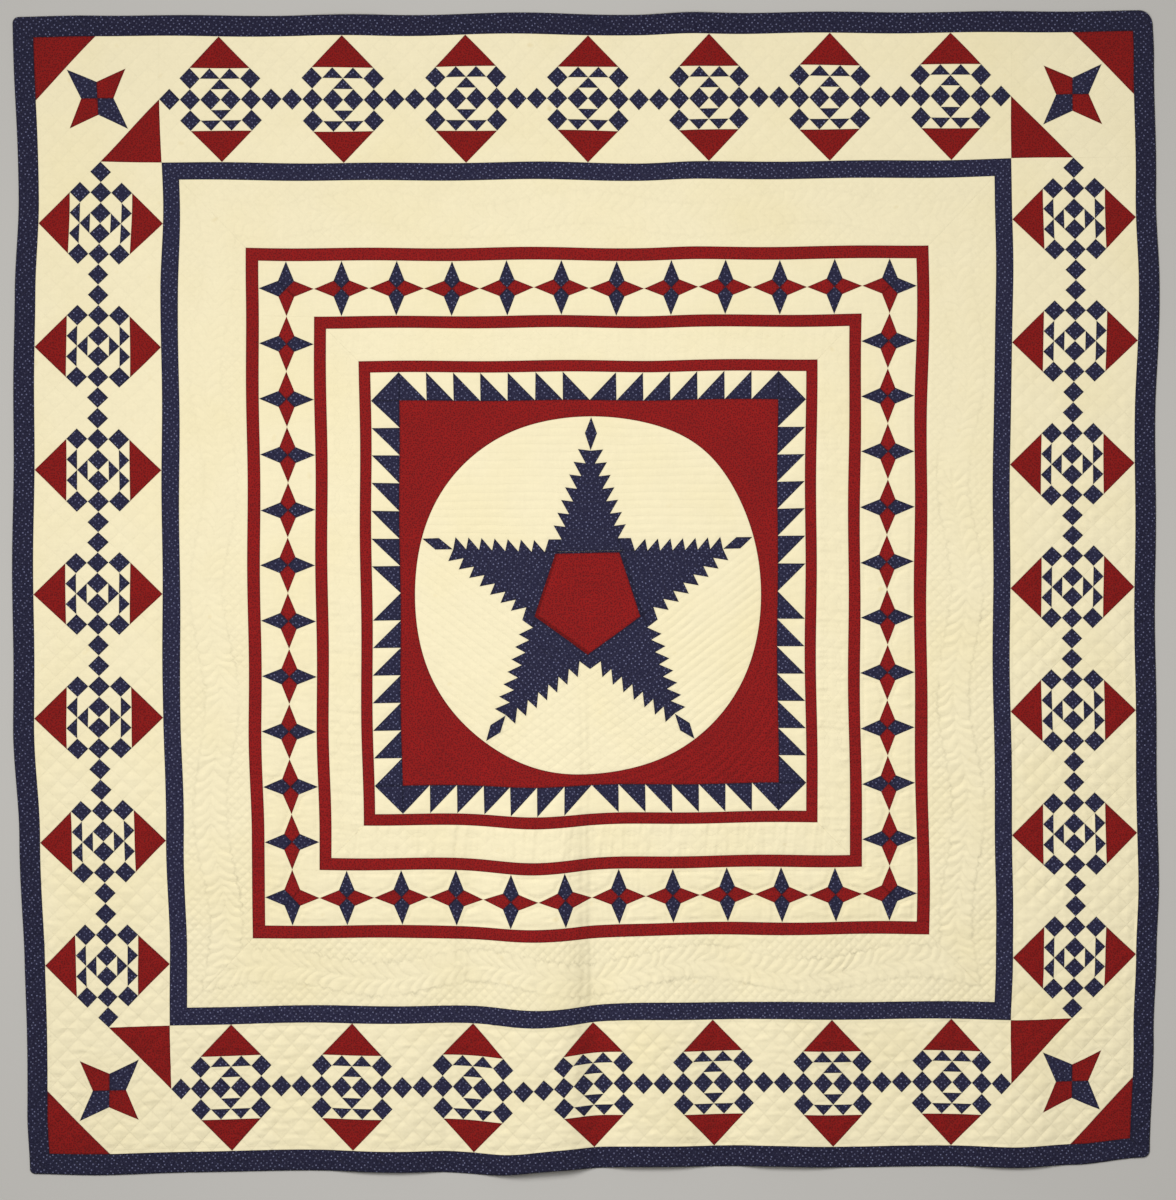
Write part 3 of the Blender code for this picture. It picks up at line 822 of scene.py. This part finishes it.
def strip_loop(inner, outer, corners, quarter):
    """Outline of one border strip, drawn for the top."""
    c = 0.5 * CUT
    low, high = inner + c, outer - c
    if corners == "mitred":
        m = c * math.sqrt(2.0)
        return [(-low + m, low), (low - m, low), (high - m, high), (-high + m, high)]
    ends = high if corners == "butted" and quarter % 2 == 0 else inner - c
    return [(-ends, low), (ends, low), (ends, high), (-ends, high)]


def strip_seams(inner, outer, corners, quarter):
    """The two long seams of a strip, and those at its ends where another cloth starts."""
    far = outer if corners == "mitred" or (corners == "butted" and quarter % 2 == 0) else inner
    seams = [((-inner, inner), (inner, inner)), ((-far, outer), (far, outer))]
    if corners == "butted" and quarter % 2 == 0:
        seams += [((side * outer, inner), (side * outer, outer)) for side in (-1, 1)]
    return seams


def sew_border(name, inner, outer, corners, ground, patches_of, grid, stitch, loop_of=strip_loop, **how):
    """Four strips of a border, each drawn for the top and turned to its side."""
    for quarter, side in enumerate(SIDES):
        full = corners == "mitred" or (corners == "butted" and quarter % 2 == 0)
        length, width = 2 * (outer if full else inner), outer - inner
        area = (length - width) * width if corners == "mitred" else None
        loop = loop_of(inner, outer, corners, quarter)
        if corners == "mitred":
            how["joins"] = segments_of(np.array(loop))[1::2]
        sew(
            f"{name}_{side}", [loop], ground, patches_of(quarter), grid, stitch,
            flat=(length, width), area=area, seams=strip_seams(inner, outer, corners, quarter),
            quarter=quarter, rows=max(1, round(0.95 * math.sqrt(length / width))), **how,
        )


SAW_OUTER = 0.4055
SAW_CELL = 2 * SQUARE_HALF / 14


def saw_teeth(quarter):
    """Navy teeth of one side: upright edge towards the nearer corner."""
    low, high = SQUARE_HALF, SAW_OUTER
    teeth = []
    for k in range(7):
        start = -low + k * SAW_CELL
        for side in (-1, 1):
            foot, point = -side * start, -side * (start + SAW_CELL)
            teeth.append(("navy", [(foot, low), (point, low), (foot, high)]))
    if quarter % 2 == 0:
        for side in (-1, 1):
            teeth.append(("navy", [(side * low, low), (side * high, low), (side * low, high)]))
    return teeth


def tooth_stitch(points):
    """No lines but those in the seams and beside them."""
    return BETWEEN, BETWEEN, FAR, FAR


sew_border("sawtooth", SQUARE_HALF, SAW_OUTER, "butted", "cream", saw_teeth, plain_grid, tooth_stitch)


# The three narrow red strips: printed cotton, cut straight and butted, with short stitched lines across.
# They are made alike, one inside the cream frame, one outside it, and one round the star chain.
ACROSS_PITCH = 0.0155


def no_patches(quarter):
    """A strip of one cloth."""
    return []


def across_stitch(points):
    """Short lines across a strip."""
    along = points[:, 0]
    return along / ACROSS_PITCH + 0.5 + 0.10 * np.sin(along * 31), BETWEEN, ACROSS_PITCH, FAR


for strip, inner, outer in (
    ("inner_red", SAW_OUTER, 0.4268), ("middle_red", 0.4870, 0.5094), ("outer_red", 0.6113, 0.6348)
):
    sew_border(strip, inner, outer, "butted", "red", no_patches, plain_grid, across_stitch)


# The cream frame: plain muslin with mitred corners, lightly quilted in a run of crossing curves, and
# gathered into small creases across the strip by the red strips on both sides.
FRAME_INNER, FRAME_OUTER = 0.4268, 0.4870
CABLE = {"length": 0.100, "swing": 0.0165, "pitch": 0.024}


def cable_stitch(points):
    """Two strands that cross to and fro along the strip."""
    x, y = points.T
    middle = y - 0.5 * (FRAME_INNER + FRAME_OUTER)
    swing = CABLE["swing"] * np.sin(2 * math.pi * x / CABLE["length"])
    return (middle - swing) / CABLE["pitch"], (middle + swing) / CABLE["pitch"], CABLE["pitch"], FAR


sew_border(
    "cream_frame", FRAME_INNER, FRAME_OUTER, "mitred", "cream", no_patches, plain_grid, cable_stitch,
    tight=0.40, gather=4.0,
)


# The star chain: four-point stars of navy and red kites on cream, tip to tip, twelve to a side counting the
# corner ones. Each cream piece between them is outlined with one stitched line a little inside its seams.
CHAIN_INNER, CHAIN_OUTER = 0.5094, 0.6113
CHAIN_STARS = 12
CHAIN_PITCH = 2 * CHAIN_OUTER / CHAIN_STARS
CHAIN_TIP, CHAIN_WAIST = 0.4985 * CHAIN_PITCH, 0.144 * CHAIN_PITCH
ECHO = 0.0062  # distance from a seam to the line that follows it
CHAIN_LINE = 0.5 * (CHAIN_INNER + CHAIN_OUTER)


def kites(middle, tip, waist, cloths):
    """Four kites round a middle: right, up, left, down."""
    shapes = []
    for k, cloth in enumerate(cloths):
        kite = turned([(0.0, 0.0), (waist, -waist), (tip, 0.0), (waist, waist)], k)
        shapes.append((cloth, kite + np.array(middle)))
    return shapes


def chain_stars(quarter):
    """Stars of one side: red kites along the chain, navy across it, and turned at the corners."""
    stars = []
    first, last = (0, CHAIN_STARS) if quarter % 2 == 0 else (1, CHAIN_STARS - 1)
    for k in range(first, last):
        cloths = ["red", "navy", "red", "navy"]
        if k == 0:
            cloths = ["red", "navy", "navy", "red"]
        if k == CHAIN_STARS - 1:
            cloths = ["navy", "navy", "red", "red"]
        x = -CHAIN_OUTER + (k + 0.5) * CHAIN_PITCH
        stars += kites((x, CHAIN_LINE), CHAIN_TIP, CHAIN_WAIST, cloths)
    return stars


def star_stitch(points):
    """No lines but the one that follows the seams."""
    return BETWEEN, BETWEEN, 0.0120, FAR


sew_border(
    "star_chain", CHAIN_INNER, CHAIN_OUTER, "butted", "cream", chain_stars, plain_grid, star_stitch,
    echo=ECHO, tight=1.25, gather=2.0,
)


# The wide cream border: plain muslin with mitred corners. A feathered vine winds along it, with small
# crosshatching on both sides, all stitched by hand through the filling.
WIDE_INNER, WIDE_OUTER = 0.6348, 0.7590
HATCH = 0.0186  # the hatching's repeat along the strip
VINE = {"length": 0.404, "swing": 0.0135, "plume": 0.0213, "reach": 0.0325}


def hatch_grid(low, high):
    """Grid on the crosshatching's own slant."""
    step = HATCH / 8
    return lattice(low, high, (step, step), (step, -step))


def vine_stitch(points):
    """A spine that winds along the strip, curved plumes on both sides, and crosshatching beyond them."""
    x, y = points.T
    across = y - 0.5 * (WIDE_INNER + WIDE_OUTER)
    away = across - VINE["swing"] * np.cos(2 * math.pi * x / VINE["length"])
    beside = np.abs(away)
    plume = (np.abs(x) - 1.8 * beside + 33.0 * beside**2) / VINE["plume"] + 0.38 * uneven(points, 0.08)
    lobe = 2.0 * np.abs((plume + 0.5) % 1.0 - 0.5)
    reach = VINE["reach"] * (0.78 + 0.22 * np.sqrt(lobe))
    in_vine = beside < reach
    phase_a = np.where(in_vine, plume, (x + y) / HATCH)
    phase_b = np.where(in_vine, BETWEEN, (x - y) / HATCH)
    outline = np.minimum(beside, 1.5 * np.abs(reach - beside))
    return phase_a, phase_b, np.where(in_vine, 0.0125, 0.0131), outline


sew_border(
    "wide_cream", WIDE_INNER, WIDE_OUTER, "mitred", "cream", no_patches, hatch_grid, vine_stitch, tight=0.92
)


# The navy strip: dotted print, cut straight and butted, framing the wide cream border.
NAVY_INNER, NAVY_OUTER = 0.7590, 0.7912


def slant_stitch(points):
    """Slanting lines across a strip."""
    return (points[:, 0] + points[:, 1]) / 0.0380, BETWEEN, 0.0269, FAR


sew_border("navy_strip", NAVY_INNER, NAVY_OUTER, "butted", "navy", no_patches, plain_grid, slant_stitch)


# The block border: seven blocks to a side, each six small squares across and set on its point, with red
# triangles above and below a navy chain, on muslin crosshatched along the lines of the small squares.
BLOCK_INNER, BLOCK_OUTER = 0.7912, 1.0243
BLOCKS = 7
CELL_ALONG = 2 * BLOCK_INNER / BLOCKS / 6
CELL_ACROSS = (BLOCK_OUTER - BLOCK_INNER) / 6
BLOCK_LINE = 0.5 * (BLOCK_INNER + BLOCK_OUTER)


def block_patches(quarter):
    """Red triangles, navy squares and navy half squares of one side."""
    a, b = 0.5 * CELL_ALONG, 0.5 * CELL_ACROSS
    shapes = []
    for k in range(BLOCKS):
        x0 = -BLOCK_INNER + (k + 0.5) * 6 * CELL_ALONG
        squares = [(u, 0) for u in (-5, -3, -1, 1, 3, 5)] + [(u, v) for u in (-3, 3) for v in (-2, 2)]
        for u, v in squares:
            x, y = x0 + u * a, BLOCK_LINE + v * b
            shapes.append(("navy", [(x - a, y), (x, y - b), (x + a, y), (x, y + b)]))
        for side in (-1, 1):
            for u, v in ((0, 1), (-1, 2), (1, 2)):
                x, y = x0 + u * a, BLOCK_LINE + side * v * b
                shapes.append(("navy", [(x - a, y), (x + a, y), (x, y + side * b)]))
            y = BLOCK_LINE + side * 3 * b
            shapes.append(("deep_red", [(x0 - 3 * a, y), (x0 + 3 * a, y), (x0, BLOCK_LINE + side * 6 * b)]))
    return shapes


def block_grid(low, high):
    """Grid on the slant of the small squares."""
    a, b = CELL_ALONG / 14, CELL_ACROSS / 14
    return lattice(low, high, (a, b), (a, -b), (-BLOCK_INNER, BLOCK_LINE))


def block_stitch(points):
    """Crosshatching on the lines of the small squares."""
    x = (points[:, 0] + BLOCK_INNER) / CELL_ALONG
    y = (points[:, 1] - BLOCK_LINE) / CELL_ACROSS
    return x + y, x - y, 0.0270, FAR


sew_border(
    "block_border", BLOCK_INNER, BLOCK_OUTER, "corner_blocks", "cream", block_patches, block_grid,
    block_stitch, echo=ECHO, tight=1.15,
)


# The corner blocks: a four-point star on point, its kites navy towards the cover's corner and red across,
# between two red corner triangles. One square block at each corner of the block border.
CORNERS = ("top_right", "top_left", "bottom_left", "bottom_right")
BLOCK_SIDE = BLOCK_OUTER - BLOCK_INNER
CORNER_TIP, CORNER_WAIST = 0.238 * BLOCK_SIDE, 0.133 * BLOCK_SIDE


def corner_patches():
    """Patches of the upper right corner block."""
    near, far, half = BLOCK_INNER, BLOCK_OUTER, 0.5 * BLOCK_SIDE
    shapes = [
        ("deep_red", [(far, far), (far - half, far), (far, far - half)]),
        ("deep_red", [(near, near), (near + half, near), (near, near + half)]),
    ]
    for k, cloth in enumerate(("navy", "deep_red", "navy", "deep_red")):
        kite = [(0.0, 0.0), (CORNER_WAIST, 0.0), (CORNER_TIP, CORNER_TIP), (0.0, CORNER_WAIST)]
        shapes.append((cloth, turned(kite, k) + BLOCK_LINE))
    return shapes


def corner_stitch(points):
    """The block border's crosshatching, carried round the corner."""
    x = (points[:, 0] - BLOCK_INNER) / CELL_ACROSS
    y = (points[:, 1] - BLOCK_LINE) / CELL_ACROSS
    return x + y, x - y, 0.0275, FAR


for quarter, corner in enumerate(CORNERS):
    near, far = BLOCK_INNER + 0.5 * CUT, BLOCK_OUTER - 0.5 * CUT
    sew(
        f"corner_block_{corner}", [[(near, near), (far, near), (far, far), (near, far)]],
        "cream", corner_patches(), plain_grid, corner_stitch, flat=(BLOCK_SIDE, BLOCK_SIDE),
        seams=[((far, near), (far, far)), ((near, far), (far, far))], echo=ECHO, tight=1.15, quarter=quarter,
    )


# The edging: wide navy print strips, butted, with the outer edge turned in and the four corners rounded. The
# hem is part of the same cloth.
EDGE_INNER = 1.0243
CORNER_RADIUS = {(-1, 1): 0.012, (1, 1): 0.026, (-1, -1): 0.009, (1, -1): 0.014}
CORNER_STEPS = 8
HEM = {"corner": 0.03, "in": 0.0012, "down": -0.0002, "up": 0.0007}


def edging_loop(inner, outer, corners, quarter):
    """Outline of an edging strip whose outer corners are rounded."""
    plain = strip_loop(inner, outer, corners, quarter)
    if quarter % 2:
        return plain
    points = plain[:2]
    for side in (1, -1):
        place = turned([(side * 1.0, 1.0)], quarter)[0]
        radius = CORNER_RADIUS[(round(place[0]), round(place[1]))]
        middle = (side * (outer - 0.5 * CUT - radius), outer - 0.5 * CUT - radius)
        for step in range(CORNER_STEPS + 1):
            turn = 0.5 * math.pi * (step / CORNER_STEPS + (side < 0))
            points.append((middle[0] + radius * math.cos(turn), middle[1] + radius * math.sin(turn)))
    return points


def turned_in(upper, lower, top_rim, under_rim, cut_rim):
    """Rolls the cover's outer edge in, and gives the row of points halfway down its side."""
    near_edge = np.abs(cut_rim) > COVER_HALF - HEM["corner"]
    outside = (np.abs(cut_rim) > COVER_HALF - 2 * CUT).any(axis=1) | near_edge.all(axis=1)
    outward = np.where(near_edge & outside[:, None], np.sign(cut_rim), 0.0)
    outward /= np.maximum(np.linalg.norm(outward, axis=1, keepdims=True), 1.0)
    middle = upper[top_rim]
    middle[:, 2] = 0.5 * (middle[:, 2] + lower[under_rim, 2])
    for places, rim, rise in ((upper, top_rim, HEM["down"]), (lower, under_rim, HEM["up"])):
        places[rim, :2] -= HEM["in"] * outward
        places[rim, 2] += rise * np.abs(outward).max(axis=1)
    return middle


sew_border(
    "edging", EDGE_INNER, COVER_HALF, "butted", "deep_navy", no_patches, plain_grid, slant_stitch,
    loop_of=edging_loop, hem=turned_in,
)


# The floor, light and camera: a plain pale floor, soft light from above the cover's upper left, and a camera
# looking straight down with the cover filling the frame as in the photograph.
floor_mesh = bpy.data.meshes.new("floor")
floor_mesh.from_pydata([(-12, -12, 0), (12, -12, 0), (12, 12, 0), (-12, 12, 0)], [], [(0, 1, 2, 3)])
floor = bpy.data.objects.new("floor", floor_mesh)
bpy.context.scene.collection.objects.link(floor)
floor_paint = Cloth("floor_paint")
floor_paint.shader.inputs["Base Color"].default_value = (0.47, 0.46, 0.44, 1.0)
floor_paint.shader.inputs["Roughness"].default_value = 0.9
floor_mesh.materials.append(floor_paint.material)
floor.location.z = -0.0004

world = bpy.data.worlds.new("studio")
bpy.context.scene.world = world
world.use_nodes = True
world.node_tree.nodes["Background"].inputs["Color"].default_value = (1.0, 0.99, 0.97, 1.0)
world.node_tree.nodes["Background"].inputs["Strength"].default_value = 0.235

sun = bpy.data.lights.new("window", "SUN")
sun.energy = 1.75
sun.angle = math.radians(20)
sun.color = (1.0, 0.985, 0.96)
sun_lamp = bpy.data.objects.new("window", sun)
sun_lamp.rotation_euler = Vector((0.42, -0.72, -1.0)).to_track_quat("-Z", "Y").to_euler()
bpy.context.scene.collection.objects.link(sun_lamp)

overhead = bpy.data.lights.new("overhead", "AREA")
overhead.shape = "DISK"
overhead.size = 1.6
overhead.energy = 36.5
overhead_lamp = bpy.data.objects.new("overhead", overhead)
overhead_lamp.location = (-0.22, 0.05, 2.6)
bpy.context.scene.collection.objects.link(overhead_lamp)

PIXEL = 0.00185  # metres of cover in one pixel of the photograph
camera = bpy.data.cameras.new("camera")
camera.lens = 100.0
camera.sensor_width = 36.0
camera.clip_end = 60.0
eye = bpy.data.objects.new("camera", camera)
eye.location = (MIDDLE[0], MIDDLE[1] - 7.5 * PIXEL, camera.lens / camera.sensor_width * 1200 * PIXEL)
bpy.context.scene.collection.objects.link(eye)
bpy.context.scene.camera = eye
bpy.context.scene.view_settings.view_transform = "Standard"
